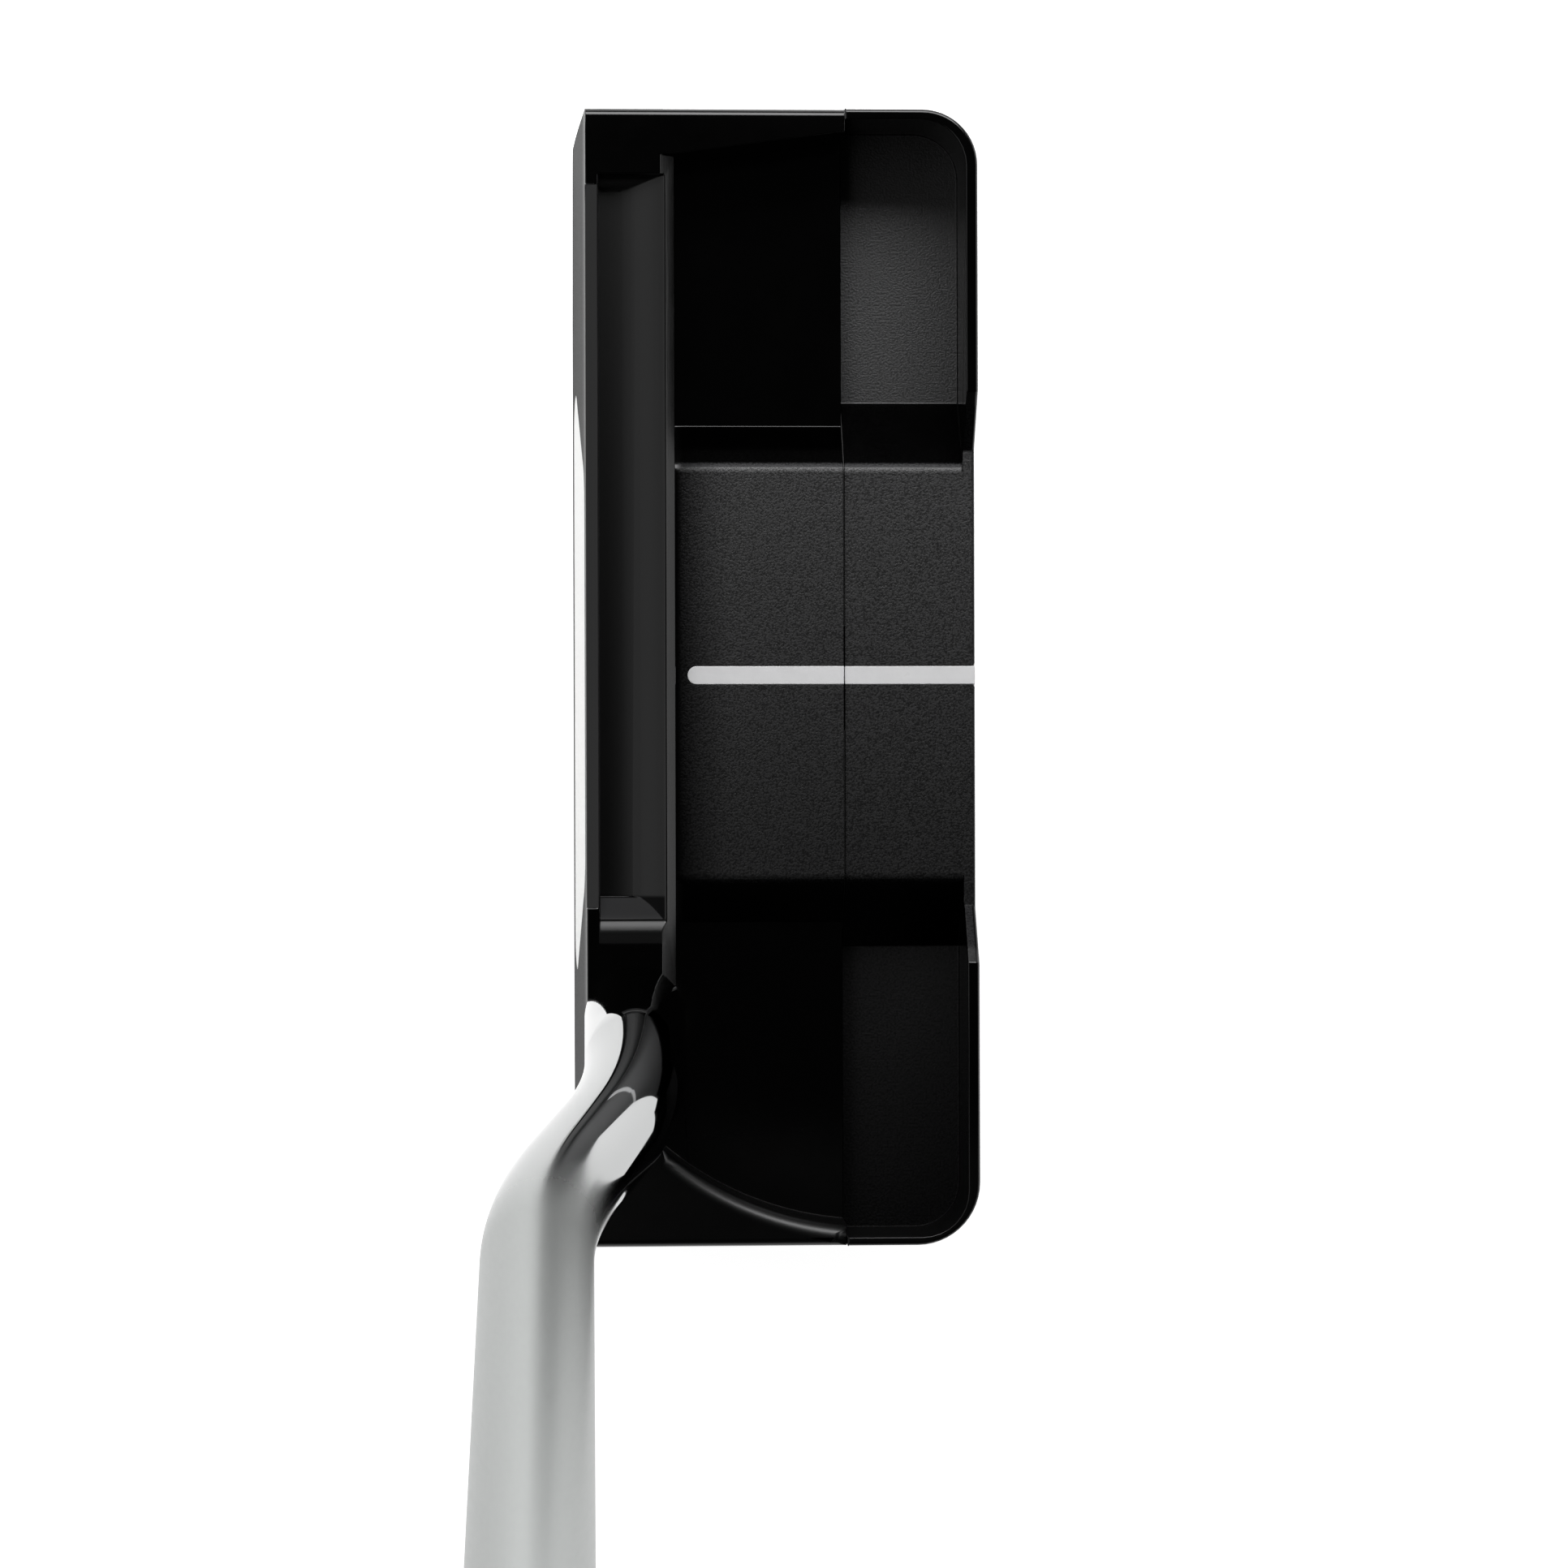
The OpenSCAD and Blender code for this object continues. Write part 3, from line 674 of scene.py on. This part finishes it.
def front_edge_width(p):
    """Radius of the front body's edge at p: wide along the tops of both ends and of the heel arc."""
    if abs(p.y) > 53.0 and (p.z < 3.0 or p.x < LEAD_X + 3):
        return SMALL_EDGE
    if abs(p.y) > 54.0 and p.z > 24.0:
        return END_TOP_EDGE
    if abs(p.z - HEAD_H) < 0.5 and p.y < -42 and p.x > -10.5:
        return HEEL_ARC_EDGE
    if p.x > RIDGE_FOOT_X and 17.0 < p.z < 24.0:
        return FINE_EDGE
    return PLAIN_EDGE


def rear_edge_width(p):
    """Radius of the rear body's edge at p: wide round the rim, less so at the sole, fine at the seam."""
    if p.x < SEAM_X + 0.15:
        return FINE_EDGE
    if outline_gap(p) < 0.15:
        return REAR_RIM_EDGE if p.z > 12.0 else REAR_SOLE_EDGE
    return FINE_EDGE if p.x < 18.0 and p.z < 24.0 else PLAIN_EDGE


def same_width(width):
    return lambda p: width


def make_head(materials):
    for node, name, key, slot, width_of in (
        ("front_body", "front_casting", "front", "black_steel", front_edge_width),
        ("rear_body", "rear_frame", "rear", "black_aluminium", rear_edge_width),
        ("face_insert", "urethane_insert", "insert", "white_urethane", same_width(SMALL_EDGE)),
        ("toe_weight", "toe_sole_weight", "steel", "steel", same_width(SMALL_EDGE)),
        ("heel_weight", "heel_sole_weight", "steel", "steel", same_width(SMALL_EDGE)),
        ("body_screws", "sole_screws", "steel", "steel", same_width(SCREW_EDGE)),
        ("front_sight_line", "front_sight_line_fill", "enamel", "white_paint", same_width(PAINT_EDGE)),
        ("rear_sight_line", "rear_sight_line_fill", "enamel", "white_paint", same_width(PAINT_EDGE)),
    ):
        refined_copy(node, name, materials[key], slot, width_of)


def dress_hidden_nodes(materials):
    """The inner pieces keep their CAD meshes and get a material each."""
    for node, key in (
        ("seam_adhesive", "epoxy"),
        ("insert_tape", "adhesive"),
        ("shaft_epoxy", "adhesive"),
        ("locating_dowels", "steel"),
        ("weight_washers", "nylon"),
        ("grip_tape", "tape"),
    ):
        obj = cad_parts[node]
        for material_slot in obj.material_slots:
            material_slot.material = materials[key]


# ------------------------------------------------------------------ studio
FLOOR_HALF = 8.0


def make_floor():
    mesh = bpy.data.meshes.new("floor")
    corners = [(x * FLOOR_HALF, y * FLOOR_HALF, 0) for x, y in ((-1, -1), (1, -1), (1, 1), (-1, 1))]
    mesh.from_pydata(corners, [], [(0, 1, 2, 3)])
    floor = bpy.data.objects.new("floor", mesh)
    bpy.context.collection.objects.link(floor)
    n = Nodes("floor_paper", (0.85, 0.85, 0.85), 0.9)
    n.set("Roughness", n.mix(n.noise(30, 2), 0.85, 0.95))
    n.shader.inputs["Specular IOR Level"].default_value = 0.1
    n.shader.inputs["Emission Color"].default_value = (1, 1, 1, 1)
    n.shader.inputs["Emission Strength"].default_value = 0.9
    mesh.materials.append(n.material)


def area_light(name, place, aim, size, power):
    data = bpy.data.lights.new(name, "AREA")
    data.shape = "RECTANGLE"
    data.size, data.size_y = size
    data.energy = power
    light = bpy.data.objects.new(name, data)
    light.location = place
    direction = Vector(aim) - Vector(place)
    light.rotation_euler = direction.to_track_quat("-Z", "Y").to_euler()
    bpy.context.collection.objects.link(light)


def map_range(tree, value, limits, kind):
    """value, taken from the range of limits' first pair to the range of its second pair."""
    node = tree.nodes.new("ShaderNodeMapRange")
    node.interpolation_type = kind
    for key, number in zip(("From Min", "From Max", "To Min", "To Max"), limits):
        node.inputs[key].default_value = number
    tree.links.new(value, node.inputs["Value"])
    return node.outputs["Result"]


def make_world():
    """A white sky, bright up to the horizon and dark overhead, and dimmer on the heel side."""
    world = bpy.data.worlds.new("studio")
    bpy.context.scene.world = world
    world.use_nodes = True
    tree = world.node_tree
    background = tree.nodes["Background"]
    background.inputs["Color"].default_value = (1, 1, 1, 1)
    coords = tree.nodes.new("ShaderNodeTexCoord")
    split = tree.nodes.new("ShaderNodeSeparateXYZ")
    tree.links.new(coords.outputs["Generated"], split.inputs[0])
    height = map_range(tree, split.outputs["Z"], (0.02, 0.5, 0.5, 0.015), "SMOOTHSTEP")
    heel_side = map_range(tree, split.outputs["Y"], (-0.8, 0.0, 0.2, 1.0), "LINEAR")
    strength = tree.nodes.new("ShaderNodeMath")
    strength.operation = "MULTIPLY"
    tree.links.new(height, strength.inputs[0])
    tree.links.new(heel_side, strength.inputs[1])
    tree.links.new(strength.outputs[0], background.inputs["Strength"])


def make_studio():
    """Lights, with places and sizes in metres and power in watts, and the floor and sky."""
    make_floor()
    area_light("toe_softbox", (0.01, 0.2, 0.155), (0, 0, 0.02), (0.25, 0.11), 0.56)
    area_light("left_softbox", (-0.75, 0.0, 0.75), (0, 0, 0), (1.3, 1.0), 2.6)
    area_light("right_softbox", (1.2, 0.3, 0.25), (0, 0, 0), (1.3, 0.4), 2.5)
    make_world()
    bpy.context.scene.view_settings.view_transform = "Standard"


# ------------------------------------------------------------------ build
make_camera()
MATERIALS = {
    "front": black_coating("black_steel_coating", (0.0026, 0.0026, 0.0028), (0.023, 0.023, 0.024)),
    "rear": black_coating("black_anodised", (0.0026, 0.0026, 0.0029), (0.025, 0.025, 0.026)),
    "insert": white_urethane(),
    "enamel": white_enamel(),
    "chrome": mirror_chrome(),
    "steel": turned_steel(),
    "rubber": grip_rubber(),
    "adhesive": plain_filler("cured_adhesive", (0.5, 0.45, 0.3), 0.45),
    "epoxy": plain_filler("black_epoxy", (0.012, 0.012, 0.012), 0.5),
    "nylon": plain_filler("black_nylon", (0.04, 0.04, 0.04), 0.5),
    "tape": plain_filler("paper_tape", (0.75, 0.72, 0.62), 0.8),
}
make_head(MATERIALS)
make_shaft(MATERIALS["chrome"])
make_grip(MATERIALS["rubber"])
make_grip_cap(MATERIALS["rubber"])
dress_hidden_nodes(MATERIALS)
make_studio()
